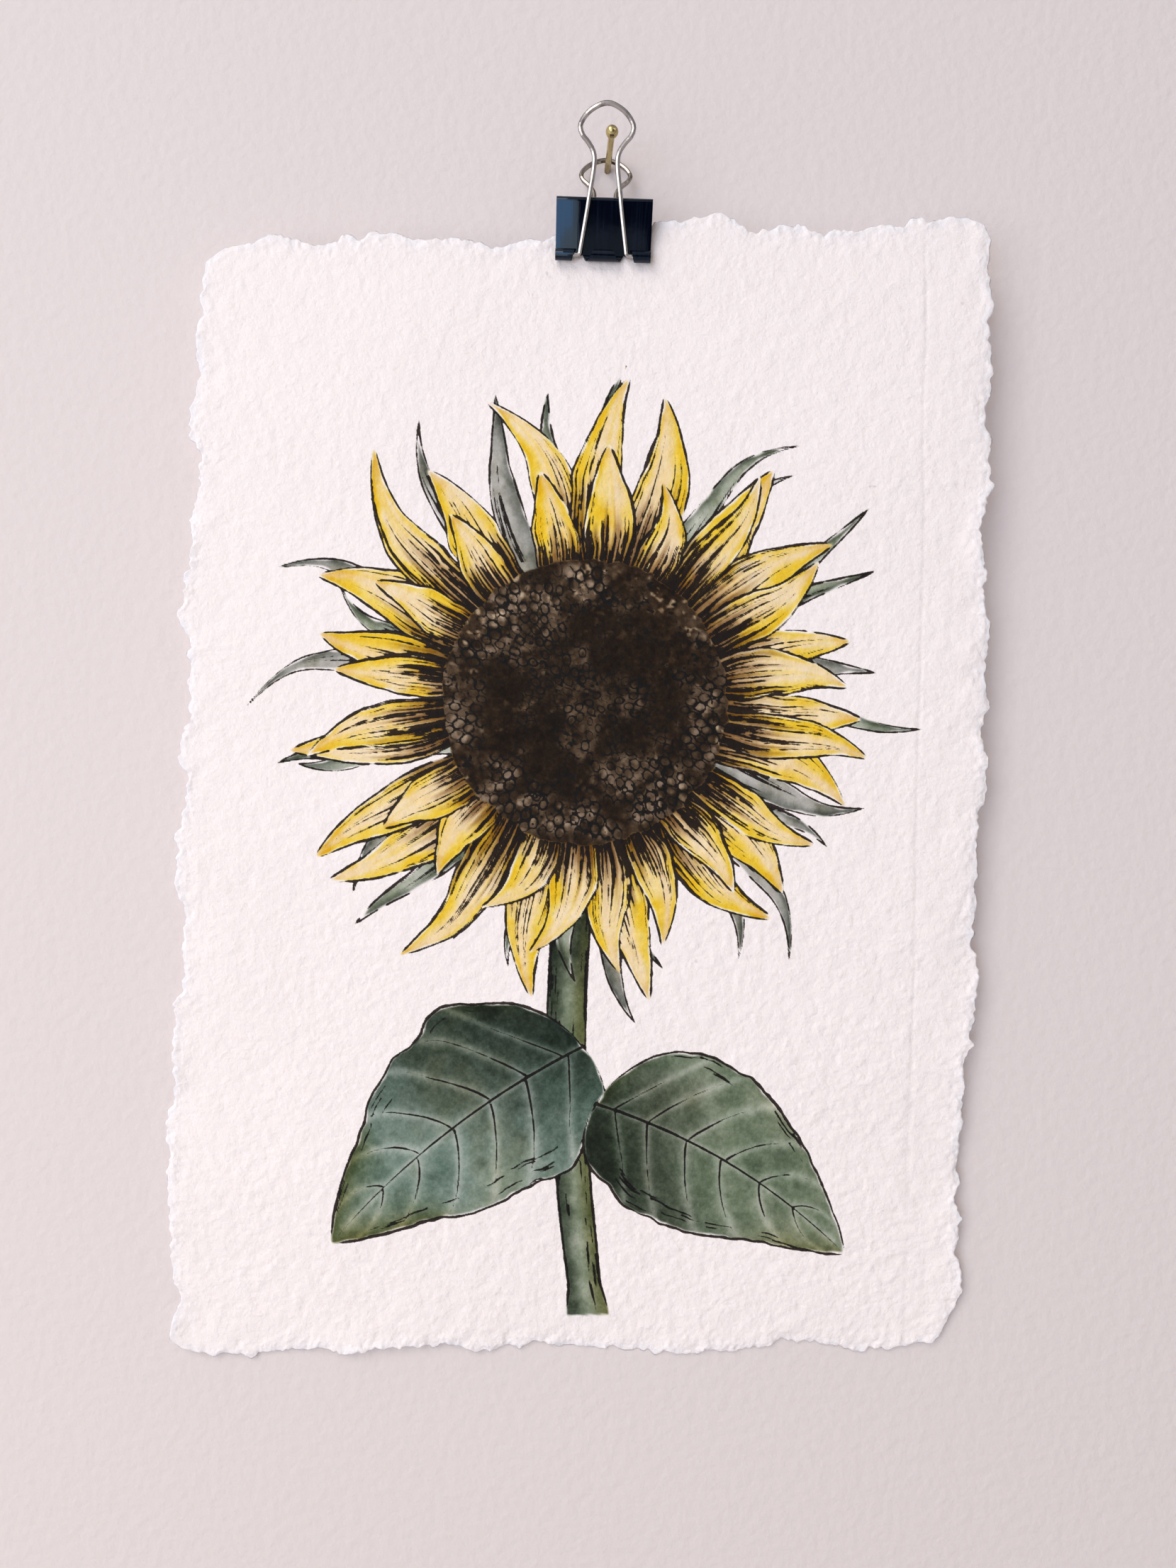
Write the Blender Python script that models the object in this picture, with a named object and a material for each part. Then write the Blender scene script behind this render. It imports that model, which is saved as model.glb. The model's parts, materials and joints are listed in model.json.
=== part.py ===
"""A deckle-edged sheet of handmade paper, gripped by a foldback clip that hangs from a nail.

Frame: the origin is where the nail enters the wall. The wall is the plane Y = 0 and the
picture faces -Y. X runs to the viewer's right and Z runs up. Everything is in metres.

The clip has its own frame: the "clip_frame" empty sits on the line where the jaws pinch the
sheet. Its X runs across the clip, its Y towards the wall and its Z up through the spine.
It leans out from the wall by a small angle that follows from how the picture hangs: the
rear handle's loop lies on the nail close to the wall, and the sheet's foot touches the wall.
"""

import math

import bmesh
import bpy
import numpy as np
from mathutils import Vector

MM = 0.001
GAP = 0.3 * MM                  # left between pieces that touch in real life

# Clip: a 19 mm foldback clip bent from one strip of spring steel
CLIP_WIDTH = 19.0 * MM
CLIP_X = -0.3 * MM              # the clip hangs just left of the nail
STEEL = 0.3 * MM
SPINE_HALF = 4.4 * MM           # outside face of the jaw plates, at the spine
SPINE_TOP = 10.4 * MM           # top of the spine above the handle axes
SPINE_CORNER = 0.8 * MM         # outside radius
ROLL_RADIUS = 1.14 * MM         # outside radius of the rolled jaw ends
ROLL_END = math.radians(285)    # how far a jaw end is rolled round
ROLL_STEP = math.radians(15)
TONGUE_BASE, TONGUE_TIP = 4.1 * MM, 1.5 * MM    # half width of the middle tongue
TUBE_BASE, TUBE_TIP = 6.7 * MM, 5.45 * MM       # where each end tube begins

# Handles: bright wire, bent to a keyhole
WIRE_RADIUS = 0.475 * MM
PIN_END = 8.2 * MM              # the wire's ends, inside the end tubes
LEG_FOOT_X = 4.6 * MM
LEG_BEND = 0.6 * MM
LEG_MIDDLE = (3.06 * MM, 10.5 * MM)
NECK = (2.33 * MM, 17.6 * MM)
FLARE = (3.5 * MM, 19.7 * MM)
SHOULDER = ((4.62 * MM, 20.9 * MM), (5.13 * MM, 22.3 * MM), (4.66 * MM, 23.55 * MM))
CROWN = (3.0 * MM, 25.25 * MM)
LOOP_TOP = 26.4 * MM
WIRE_STEP = 0.6 * MM            # spacing of the wire's rings

# Nail: a picture nail with a ball head, driven in level but turned slightly to the right
NAIL_RADIUS = 0.65 * MM
NAIL_HEAD_RADIUS = 1.27 * MM
NAIL_OUT = 14.5 * MM            # wall to the middle of the head
NAIL_IN = 5.0 * MM
NAIL_POINT = 1.8 * MM
NAIL_TURN = math.radians(2.7)
LOOP_FROM_WALL = 1.5 * MM       # rear loop's wire centre, off the wall

# Sheet: handmade rag paper, corners as (x, distance below the pinch line)
SHEET_THICKNESS = 0.5 * MM
TOP_LEFT = (-81.0 * MM, 0.0 * MM)
TOP_RIGHT = (77.0 * MM, -10.5 * MM)
BOTTOM_RIGHT = (79.5 * MM, 222.0 * MM)
BOTTOM_LEFT = (-84.5 * MM, 227.0 * MM)
RIGHT_BULGE = 2.8 * MM
CORNER_RADIUS = 6.0 * MM
FEATHER = 1.5 * MM              # width of the thinned rim
OUTLINE_POINTS = 240
DECKLE_SEED = 7
DECKLE_WAVES = ((70, 0.9), (34, 0.6), (17, 0.45), (9, 0.3))     # wavelength and height, mm
FOOT_CLEARANCE = 0.4 * MM       # sheet's mid-plane to the wall, at its foot

BLACK_ENAMEL = ((0.012, 0.014, 0.020), 0.22, 0.0)
BRIGHT_WIRE = ((0.72, 0.72, 0.74), 0.16, 1.0)
BRASS = ((0.62, 0.47, 0.20), 0.30, 1.0)
RAG_PAPER = ((0.90, 0.87, 0.86), 0.92, 0.0)


# ---------------------------------------------------------------- derived places

roll_mid = ROLL_RADIUS - STEEL / 2
hinge_offset = SHEET_THICKNESS / 2 + GAP + ROLL_RADIUS
corner_centre = (SPINE_HALF - SPINE_CORNER, SPINE_TOP - SPINE_CORNER)


def tangent_lean(clearance):
    """Lean of a line that passes the spine's corner centre and the handle axis.

    clearance is how much further out the line is at the corner than at the handle axis.
    """
    across = corner_centre[0] - hinge_offset
    up = corner_centre[1]
    return math.asin(clearance / math.hypot(across, up)) + math.atan2(across, up)


plate_lean = tangent_lean(SPINE_CORNER - STEEL / 2 + roll_mid)
handle_lean = tangent_lean(SPINE_CORNER + GAP + WIRE_RADIUS)

# The rear loop's top and the sheet's foot give the lean of the whole picture.
loop_back = hinge_offset + LOOP_TOP * math.sin(handle_lean)
loop_up = LOOP_TOP * math.cos(handle_lean)
foot_down = BOTTOM_LEFT[1]
picture_lean = (math.asin((LOOP_FROM_WALL - FOOT_CLEARANCE) / math.hypot(loop_up + foot_down, loop_back))
                + math.atan2(loop_back, loop_up + foot_down))
pinch_y = (-LOOP_FROM_WALL - loop_back * math.cos(picture_lean)
           + loop_up * math.sin(picture_lean))
pinch_z = (NAIL_RADIUS + GAP + WIRE_RADIUS
           - loop_up * math.cos(picture_lean) - loop_back * math.sin(picture_lean))


# ---------------------------------------------------------------- helpers

def clear_scene():
    for old in list(bpy.data.objects):
        bpy.data.objects.remove(old, do_unlink=True)


def make_material(name, finish):
    colour, roughness, metallic = finish
    material = bpy.data.materials.new(name)
    material.use_nodes = True
    shader = material.node_tree.nodes["Principled BSDF"]
    shader.inputs["Base Color"].default_value = (*colour, 1.0)
    shader.inputs["Roughness"].default_value = roughness
    shader.inputs["Metallic"].default_value = metallic
    return material


def add_object(name, data, finish, parent=None):
    piece = bpy.data.objects.new(name, data)
    bpy.context.scene.collection.objects.link(piece)
    data.materials.append(make_material(name, finish))
    piece.parent = parent
    return piece


def mesh_from(name, bm):
    bmesh.ops.recalc_face_normals(bm, faces=bm.faces)
    mesh = bpy.data.meshes.new(name)
    bm.to_mesh(mesh)
    bm.free()
    mesh.shade_smooth()
    mesh.set_sharp_from_angle(angle=math.radians(40))
    return mesh


def smooth_through(points, step):
    """Points of a centripetal Catmull-Rom curve through the given 2-D points."""
    knots = [Vector(p) for p in points]
    knots = [2 * knots[0] - knots[1], *knots, 2 * knots[-1] - knots[-2]]
    path = []
    for p0, p1, p2, p3 in zip(knots, knots[1:], knots[2:], knots[3:]):
        t1 = (p1 - p0).length ** 0.5
        t2 = t1 + (p2 - p1).length ** 0.5
        t3 = t2 + (p3 - p2).length ** 0.5
        count = max(2, round((p2 - p1).length / step))
        for i in range(count):
            t = t1 + (t2 - t1) * i / count
            a1 = p0.lerp(p1, t / t1)
            a2 = p1.lerp(p2, (t - t1) / (t2 - t1))
            a3 = p2.lerp(p3, (t - t2) / (t3 - t2))
            b1 = a1.lerp(a2, t / t2)
            b2 = a2.lerp(a3, (t - t1) / (t3 - t1))
            path.append(b1.lerp(b2, (t - t1) / (t2 - t1)))
    path.append(knots[-2])
    return path


# ---------------------------------------------------------------- sheet

def rounded_outline():
    """The sheet's plain outline, evenly spaced: points and outward normals, as (x, down)."""
    corners = [Vector(c) for c in (TOP_LEFT, TOP_RIGHT, BOTTOM_RIGHT, BOTTOM_LEFT)]
    centre = sum(corners, Vector((0, 0))) / 4
    dense = []
    for i, corner in enumerate(corners):
        before, after = corners[i - 1], corners[(i + 1) % 4]
        start = corner + (before - corner).normalized() * CORNER_RADIUS
        end = corner + (after - corner).normalized() * CORNER_RADIUS
        for k in range(20):
            t = k / 20
            dense.append(start * (1 - t) ** 2 + corner * 2 * t * (1 - t) + end * t ** 2)
        next_start = after + (corner - after).normalized() * CORNER_RADIUS
        bulge = RIGHT_BULGE if corner is corners[1] else 0.0
        for k in range(200):
            t = k / 200
            dense.append(end.lerp(next_start, t) + Vector((bulge * math.sin(math.pi * t), 0)))
    dense = np.array(dense)
    loop = np.vstack((dense, dense[:1]))
    along = np.concatenate(([0], np.cumsum(np.linalg.norm(np.diff(loop, axis=0), axis=1))))
    perimeter = along[-1]
    places = np.arange(OUTLINE_POINTS) * perimeter / OUTLINE_POINTS
    even = np.column_stack([np.interp(places, along, loop[:, axis]) for axis in (0, 1)])
    run = np.roll(even, -1, axis=0) - np.roll(even, 1, axis=0)
    normals = np.column_stack((run[:, 1], -run[:, 0]))
    normals /= np.linalg.norm(normals, axis=1)[:, None]
    inward = ((even - np.array(centre)) * normals).sum(axis=1) < 0
    normals[inward] *= -1
    return even, normals, places / perimeter, perimeter


def deckle(turn, perimeter):
    """How far the torn edge stands out at each fraction of a turn round the sheet."""
    rng = np.random.RandomState(DECKLE_SEED)
    offset = np.zeros_like(turn)
    for wavelength, height in DECKLE_WAVES:
        waves = perimeter / (wavelength * MM)
        for spread in (0.8, 1.0, 1.25):
            phase = rng.uniform(0, 2 * math.pi)
            offset += height * MM * np.sin(2 * math.pi * round(waves * spread) * turn + phase) / 1.7
    return offset


def make_sheet(clip_frame):
    outline, normals, turn, perimeter = rounded_outline()
    torn = outline + normals * deckle(turn, perimeter)[:, None]
    face_edge = torn - normals * FEATHER
    bm = bmesh.new()
    rings = []
    for ring, y in ((face_edge, -SHEET_THICKNESS / 2), (torn, 0.0), (face_edge, SHEET_THICKNESS / 2)):
        rings.append([bm.verts.new((x, y, -down)) for x, down in ring])
    bm.faces.new(rings[0])
    bm.faces.new(rings[-1])
    for lower, upper in zip(rings, rings[1:]):
        for i in range(OUTLINE_POINTS):
            bm.faces.new((lower[i - 1], lower[i], upper[i], upper[i - 1]))
    return add_object("sheet", mesh_from("sheet", bm), RAG_PAPER, clip_frame)


# ---------------------------------------------------------------- clip body

def front_half_profile():
    """Middle line of the strip, from the spine's middle to the end of the front roll.

    Each point is (towards the front, up, how far round the roll it is from 0 to 1).
    """
    line = [(0.0, SPINE_TOP - STEEL / 2, 0.0)]
    bend = SPINE_CORNER - STEEL / 2
    for k in range(8):
        a = (math.pi / 2 + plate_lean) * k / 7
        line.append((corner_centre[0] + bend * math.sin(a), corner_centre[1] + bend * math.cos(a), 0.0))
    steps = round(ROLL_END / ROLL_STEP)
    for k in range(steps + 1):
        a = ROLL_END * k / steps - plate_lean
        line.append((hinge_offset - roll_mid * math.cos(a), -roll_mid * math.sin(a), k / steps))
    return line


def make_clip_body(clip_frame):
    """Spine and plates across the whole width, each jaw ending in a tongue between two tubes."""
    half = front_half_profile()
    profile = [(-v, u, roll) for v, u, roll in reversed(half[1:])] + half
    bm = bmesh.new()
    rows = []
    for v, u, roll in profile:
        tongue = TONGUE_BASE + (TONGUE_TIP - TONGUE_BASE) * roll
        tube = TUBE_BASE + (TUBE_TIP - TUBE_BASE) * roll
        stations = (-CLIP_WIDTH / 2, -tube, -tongue, tongue, tube, CLIP_WIDTH / 2)
        rows.append(([bm.verts.new((x, -v, u)) for x in stations], roll))
    for (row, roll), (next_row, next_roll) in zip(rows, rows[1:]):
        slit = max(roll, next_roll) > 0
        for i in range(5):
            if slit and i in (1, 3):
                continue
            bm.faces.new((row[i], row[i + 1], next_row[i + 1], next_row[i]))
    for vert in [v for v in bm.verts if not v.link_faces]:
        bm.verts.remove(vert)
    body = add_object("clip_body", mesh_from("clip_body", bm), BLACK_ENAMEL, clip_frame)
    body.location.x = CLIP_X
    steel = body.modifiers.new("steel", "SOLIDIFY")
    steel.thickness = STEEL
    steel.offset = 0.0
    steel.use_even_offset = True
    return body


# ---------------------------------------------------------------- handles

def handle_path():
    """The wire's centre line in the handle's own plane: (across, along the leg)."""
    half = [(PIN_END, 0.0)]
    for k in range(7):
        a = math.pi / 2 * k / 6
        half.append((LEG_FOOT_X + LEG_BEND * (1 - math.sin(a)), LEG_BEND * (1 - math.cos(a))))
    run = [half[-1], LEG_MIDDLE, NECK, FLARE, *SHOULDER, CROWN, (0.0, LOOP_TOP),
           (-CROWN[0], CROWN[1])]
    curve = [tuple(p) for p in smooth_through(run, WIRE_STEP)]
    top = min(range(len(curve)), key=lambda i: abs(curve[i][0]))
    half += curve[1:top]
    return half + [(0.0, LOOP_TOP)] + [(-x, s) for x, s in reversed(half)]


def make_handle(name, clip_frame, side):
    """side is -1 for the front handle and 1 for the rear one."""
    curve = bpy.data.curves.new(name, "CURVE")
    curve.dimensions = "3D"
    curve.fill_mode = "FULL"
    curve.bevel_depth = WIRE_RADIUS
    curve.bevel_resolution = 2
    curve.use_fill_caps = True
    path = handle_path()
    spline = curve.splines.new("POLY")
    spline.points.add(len(path) - 1)
    for point, (x, along) in zip(spline.points, path):
        point.co = (x, 0.0, along, 1.0)
    handle = add_object(name, curve, BRIGHT_WIRE, clip_frame)
    handle.location = (CLIP_X, side * hinge_offset, 0.0)
    handle.rotation_euler.x = -side * handle_lean
    return handle


# ---------------------------------------------------------------- nail

def make_nail():
    """A turned profile: point, shank and ball head, along the nail's own Z."""
    sides = 16
    meets = math.asin(NAIL_RADIUS / NAIL_HEAD_RADIUS)
    profile = [(0.12 * MM, -NAIL_IN), (NAIL_RADIUS, NAIL_POINT - NAIL_IN)]
    for k in range(8):
        a = meets + (math.pi * 0.94 - meets) * k / 7
        profile.append((NAIL_HEAD_RADIUS * math.sin(a), NAIL_OUT - NAIL_HEAD_RADIUS * math.cos(a)))
    bm = bmesh.new()
    rings = []
    for radius, z in profile:
        angles = [2 * math.pi * i / sides for i in range(sides)]
        rings.append([bm.verts.new((radius * math.cos(a), radius * math.sin(a), z)) for a in angles])
    bm.faces.new(rings[0])
    bm.faces.new(rings[-1])
    for lower, upper in zip(rings, rings[1:]):
        for i in range(sides):
            bm.faces.new((lower[i - 1], lower[i], upper[i], upper[i - 1]))
    nail = add_object("nail", mesh_from("nail", bm), BRASS)
    nail.rotation_euler = (math.pi / 2, 0.0, NAIL_TURN)
    return nail


def main():
    clear_scene()
    clip_frame = bpy.data.objects.new("clip_frame", None)
    bpy.context.scene.collection.objects.link(clip_frame)
    clip_frame.location = (0.0, pinch_y, pinch_z)
    clip_frame.rotation_euler.x = picture_lean
    make_sheet(clip_frame)
    make_clip_body(clip_frame)
    make_handle("front_handle", clip_frame, -1)
    make_handle("rear_handle", clip_frame, 1)
    make_nail()


main()
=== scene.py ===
"""Looks of the clipped hanging sheet: painted rag paper, foldback clip, handles and nail.

Everything is in metres in the CAD frame: the wall is the plane Y = 0, the picture faces -Y
and the origin is where the nail enters the wall. The sheet's own coordinates are x to the
right, down along the sheet from the line where the jaws pinch it, and out towards the
viewer; the drawing on it is worked out in millimetres of x and down.
"""

import json
import math

import bpy
import numpy as np
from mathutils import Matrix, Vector


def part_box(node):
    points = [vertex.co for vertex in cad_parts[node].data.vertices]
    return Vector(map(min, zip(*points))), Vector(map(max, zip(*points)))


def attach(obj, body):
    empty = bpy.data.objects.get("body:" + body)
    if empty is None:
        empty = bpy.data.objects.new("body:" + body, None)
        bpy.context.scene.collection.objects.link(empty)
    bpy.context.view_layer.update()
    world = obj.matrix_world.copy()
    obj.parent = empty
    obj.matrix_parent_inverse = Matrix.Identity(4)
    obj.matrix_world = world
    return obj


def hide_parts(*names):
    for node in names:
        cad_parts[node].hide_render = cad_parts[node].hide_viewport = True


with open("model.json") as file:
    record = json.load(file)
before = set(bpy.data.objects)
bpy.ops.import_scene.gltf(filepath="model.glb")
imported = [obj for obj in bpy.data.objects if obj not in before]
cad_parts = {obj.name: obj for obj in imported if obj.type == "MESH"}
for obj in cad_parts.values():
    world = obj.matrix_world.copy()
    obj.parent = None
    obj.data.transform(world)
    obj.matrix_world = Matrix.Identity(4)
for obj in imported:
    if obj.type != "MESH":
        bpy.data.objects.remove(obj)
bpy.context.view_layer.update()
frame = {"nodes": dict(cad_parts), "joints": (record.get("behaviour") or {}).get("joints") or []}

MM = 0.001

# ---------------------------------------------------------------- colours and pigments


def linear(red, green, blue):
    """Linear light from 8-bit sRGB values."""
    c = np.array((red, green, blue)) / 255
    return np.where(c <= 0.04045, c / 12.92, ((c + 0.055) / 1.055) ** 2.4)


PAPER = linear(247, 239, 238)
# the torn rim's cooler, greyer tone is painted shade: the wall's shade seen through the thin paper
SHADED_THIN_RIM = linear(240, 238, 242)
WALL = linear(223, 214, 213)
FLOOR = linear(228, 222, 220)
INK = linear(44, 34, 30) / PAPER                # what a pen line leaves of the light under it


def pigment(red, green, blue):
    """What one full coat of a pigment takes from the paper's light."""
    return -np.log(linear(red, green, blue) / PAPER)


YELLOW = pigment(238, 206, 48)
BUFF = pigment(238, 208, 150)
OCHRE = pigment(208, 166, 92)
UMBER = pigment(100, 72, 48)
SEPIA = pigment(58, 46, 34)
GREY = pigment(158, 156, 148)
SAGE = pigment(150, 158, 138)
SLATE = pigment(138, 154, 144)
OLIVE = pigment(140, 124, 66)
SHADE = pigment(62, 68, 62)

# ---------------------------------------------------------------- the drawing

CELL = 0.125                                    # the drawing is worked out on cells of this size, mm
DRAWING_LOW, DRAWING_HIGH = (-72.0, 14.0), (72.0, 222.0)
BORDER = 0.8                                    # cells this far outside a shape take its ink, mm
SLOPE_STEP = 0.01                               # step along a blade to measure its outline's slope
HEAD_CENTRE, HEAD_RADIUS = (-1.0, 89.0), 29.0
NARROWEST = 0.02                                # narrowest half width of a blade, mm
NOISE_TABLE = np.random.RandomState(5).uniform(-1, 1, 65536).astype(np.float32)


def noise(x, y, size, seed, octaves=1):
    """Smooth noise from -1 to 1, with features about size across. The seed picks the pattern."""
    total, height, weight = 0.0, 1.0, 0.0
    for octave in range(octaves):
        u = np.asarray(x, np.float32) / size + (seed * 7.31 + octave * 17.3) % 251
        v = np.asarray(y, np.float32) / size + (seed * 3.77 + octave * 9.1) % 241
        column, row = np.floor(u).astype(np.int32), np.floor(v).astype(np.int32)
        fu, fv = u - column, v - row
        fu, fv = fu * fu * (3 - 2 * fu), fv * fv * (3 - 2 * fv)
        left, right = column & 255, (column + 1) & 255
        above, below = (row & 255) << 8, ((row + 1) & 255) << 8
        near = NOISE_TABLE[above | left] * (1 - fu) + NOISE_TABLE[above | right] * fu
        far = NOISE_TABLE[below | left] * (1 - fu) + NOISE_TABLE[below | right] * fu
        total = total + height * (near * (1 - fv) + far * fv)
        weight += height
        height *= 0.5
        size *= 0.5
    return total / weight


def ramp(low, high, value):
    """0 where the value is at low or past it, rising smoothly to 1 at high."""
    t = np.clip((value - low) / (high - low), 0, 1)
    return t * t * (3 - 2 * t)


def pen(distance, width):
    """Cover of a pen line of this width, from the distance to its middle."""
    return np.clip((width / 2 - np.abs(distance)) / CELL + 0.5, 0, 1)


def coats(*layers):
    """What several washes take from the light, each a pigment and its density."""
    return sum(np.asarray(density)[..., None] * colour for colour, density in layers)


class Drawing:
    """Washes and ink on a grid of cells. Each new shape hides what lies under it."""

    def __init__(self):
        columns = round((DRAWING_HIGH[0] - DRAWING_LOW[0]) / CELL)
        rows = round((DRAWING_HIGH[1] - DRAWING_LOW[1]) / CELL)
        self.absorb = np.zeros((rows, columns, 3), np.float32)
        self.ink = np.zeros((rows, columns), np.float32)

    def window(self, low, high):
        """The cells between two corners: their slices and their places."""
        rows, columns = self.ink.shape
        x0 = max(0, int((low[0] - DRAWING_LOW[0]) / CELL))
        y0 = max(0, int((low[1] - DRAWING_LOW[1]) / CELL))
        x1 = min(columns, int((high[0] - DRAWING_LOW[0]) / CELL) + 1)
        y1 = min(rows, int((high[1] - DRAWING_LOW[1]) / CELL) + 1)
        x = DRAWING_LOW[0] + (np.arange(x0, x1, dtype=np.float32) + 0.5) * CELL
        y = DRAWING_LOW[1] + (np.arange(y0, y1, dtype=np.float32) + 0.5) * CELL
        return (slice(y0, y1), slice(x0, x1)), *np.meshgrid(x, y)

    def cover(self, cells, inside, absorb, ink):
        """Lays a shape on these cells. inside is how far it covers each of them, from 0 to 1."""
        keep = 1 - inside
        self.absorb[cells] = self.absorb[cells] * keep[..., None] + absorb * inside[..., None]
        self.ink[cells] = np.maximum(self.ink[cells] * keep, ink)


class Blade:
    """A petal, bract, leaf or stem in its own terms, kept only for the cells it touches.

    t runs from 0 at its base to 1 at its tip, and v from -1 to 1 across it. At each t, shape gives
    half its width, as a share of width, and bend its shift sideways, as a share of its length.
    """

    def __init__(self, drawing, base, tip, width, shape, bend, seed, wobble):
        length = math.dist(base, tip)
        ux, uy = (tip[0] - base[0]) / length, (tip[1] - base[1]) / length
        reach = width * 1.6 + 0.3 * length
        low = (min(base[0], tip[0]) - reach, min(base[1], tip[1]) - reach)
        high = (max(base[0], tip[0]) + reach, max(base[1], tip[1]) + reach)
        where, x, y = drawing.window(low, high)
        along = (x - base[0]) * ux + (y - base[1]) * uy
        across = (y - base[1]) * ux - (x - base[0]) * uy
        t = along / length
        held = np.clip(t, 0, 1)
        across = across - bend(held) * length
        half = width * shape(held)
        past_end = BORDER / length
        close = np.abs(across) < half * 1.25 + BORDER
        close &= (t > -past_end) & (t < 1 + past_end)
        rows, columns = np.nonzero(close)
        self.cells = (rows + where[0].start, columns + where[1].start)
        self.x, self.y, self.t, self.across = x[close], y[close], t[close], across[close]
        along, held, half = along[close], held[close], half[close]
        ragged = 1 + wobble * 1.6 * noise(self.t * 7, np.sign(self.across) * 5, 1.0, seed, 2)
        after, before = np.clip(held + SLOPE_STEP, 0, 1), np.clip(held - SLOPE_STEP, 0, 1)
        slope = width / length * (shape(after) - shape(before)) / (2 * SLOPE_STEP)
        slope = np.clip(slope, -1.5, 1.5)
        self.half = np.maximum(half * ragged, NARROWEST)
        self.v = self.across / self.half
        side = (np.abs(self.across) - self.half) / np.sqrt(1 + slope ** 2)
        self.distance = np.maximum(side, np.maximum(-along, along - length))
        self.inside = np.clip(0.5 - self.distance / CELL, 0, 1)
        self.drawing, self.seed, self.length = drawing, seed, length
        self.ink = np.zeros_like(self.x)
        self.rough = noise(self.x, self.y, 0.9, seed + 5, 2)
        self.fade = noise(self.x, self.y, 5.0, seed + 1, 3)

    def outline(self, width, lifted=0.8):
        """Inks the edge. The pen presses less, and nearly stops, where its noise is above lifted."""
        swell = 1 + 0.45 * noise(self.t * 9, self.v, 1.0, self.seed + 6)
        pressure = noise(self.t * 12, np.sign(self.v), 1.0, self.seed + 7)
        pressed = ramp(lifted + 0.12, lifted - 0.12, pressure)
        thin = np.clip((1 - self.t) / 0.04, 0.2, 1)
        width = width * thin * swell * (1 + 0.4 * self.rough) * (0.3 + 0.7 * pressed)
        drawn = pen(self.distance, width)
        self.ink = np.maximum(self.ink, drawn * (0.5 + 0.5 * pressed) * (self.t < 1))

    def stroke(self, v, start, end, width, seed, sway=0.05):
        """A vein or hatch line at a steady place across the blade, thinning out at its end."""
        near = np.abs(self.v - v) * self.half < width + sway * self.half
        near &= (self.t > start) & (self.t < end)
        near &= np.abs(self.v) < 1
        if not near.any():
            return
        t, half = self.t[near], self.half[near]
        place = v + sway * noise(t * 5, v * 9, 1.0, seed)
        taper = np.clip((end - t) / max(end - start, 0.01) * 2.2, 0, 1) ** 0.6
        drawn = pen((self.v[near] - place) * half, width * taper * (1 + 0.5 * self.rough[near]))
        pressed = ramp(0.75, 0.45, noise(t * 16, v * 31, 1.0, seed + 1))
        self.ink[near] = np.maximum(self.ink[near], drawn * (0.35 + 0.65 * pressed))

    def rim(self, reach):
        """1 at the blade's edge, falling away inside it."""
        return np.exp(-np.maximum(-self.distance, 0) / reach)

    def bare_edge(self, width):
        """0 in the thin sliver of bare paper that is left along the outline, 1 inside it."""
        return ramp(0.1, width, -self.distance + 0.35 * noise(self.x, self.y, 2.6, self.seed + 3))

    def lay(self, *layers):
        """Lays the blade on the drawing, with these washes and the ink it has so far."""
        self.drawing.cover(self.cells, self.inside, coats(*layers).astype(np.float32), self.ink)


def around_head(angle, radius):
    return (HEAD_CENTRE[0] + radius * math.cos(angle), HEAD_CENTRE[1] + radius * math.sin(angle))


def petal_outline(t):
    return 1.33 * (t + 0.07) ** 0.55 * (1 - t) ** 0.72 * (1 + 0.35 * np.sin(math.pi * t) ** 2)


def draw_petal(drawing, rng, angle, tip_radius, width, seed):
    """A petal in buff and yellow, with dark streaks glazed outwards from the disc."""
    curve, hook = rng.uniform(-0.11, 0.11), rng.uniform(-0.55, 0.55)

    def bend(t):
        return curve * 4 * t * (1 - t) + hook * np.clip(t - 0.62, 0, 1) ** 2 * 2.2

    base = around_head(angle, 21.0)
    tip = around_head(angle + rng.uniform(-0.06, 0.06), tip_radius)
    blade = Blade(drawing, base, tip, width, petal_outline, bend, seed, 0.08)
    t, v, fade = blade.t, blade.v, blade.fade
    blade.outline(0.4)
    veins = 12
    for k in range(veins):
        place = -0.86 + 1.72 * (k + rng.uniform(-0.3, 0.3)) / (veins - 1)
        blade.stroke(place, 0.0, rng.uniform(0.45, 0.98), rng.uniform(0.22, 0.4), seed + 11 * k)
    for k in range(14):
        place, end = rng.uniform(-0.9, 0.9), rng.uniform(0.28, 0.6)
        blade.stroke(place, 0.0, end, rng.uniform(0.26, 0.5), seed + 300 + k)
    side = rng.choice((-1, 1))
    bright = ramp(0.1, 0.9, side * v + 0.5 * fade) + 0.6 * ramp(0.5, 0.95, -side * v + 0.35 * fade)
    streaks = ramp(0.1, 0.6, noise(v * 3.5, t * 1.2, 1.0, seed + 9, 2))
    glaze = ramp(0.58, 0.12, t + 0.2 * noise(v * 9, t * 3, 1.0, seed + 2, 2) + 0.07 * fade)
    dried = ramp(0.84, 1.0, t + 0.1 * fade)
    paint = blade.bare_edge(0.5)
    blade.lay(
        (BUFF, paint * (0.75 + 0.35 * fade) * (1 - 0.4 * np.clip(bright, 0, 1))),
        (YELLOW, paint * np.clip(bright + 0.25 * streaks, 0, 1.2) * (0.75 + 0.3 * fade)),
        (OCHRE, paint * (0.12 * blade.rim(0.9) + 0.30 * dried)),
        (UMBER, glaze * (0.95 + 0.35 * fade)),
    )


def bract_outline(t):
    return 1.25 * (t + 0.12) ** 0.35 * (1 - t) ** 1.05 + 0.12 * np.sin(math.pi * t)


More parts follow.
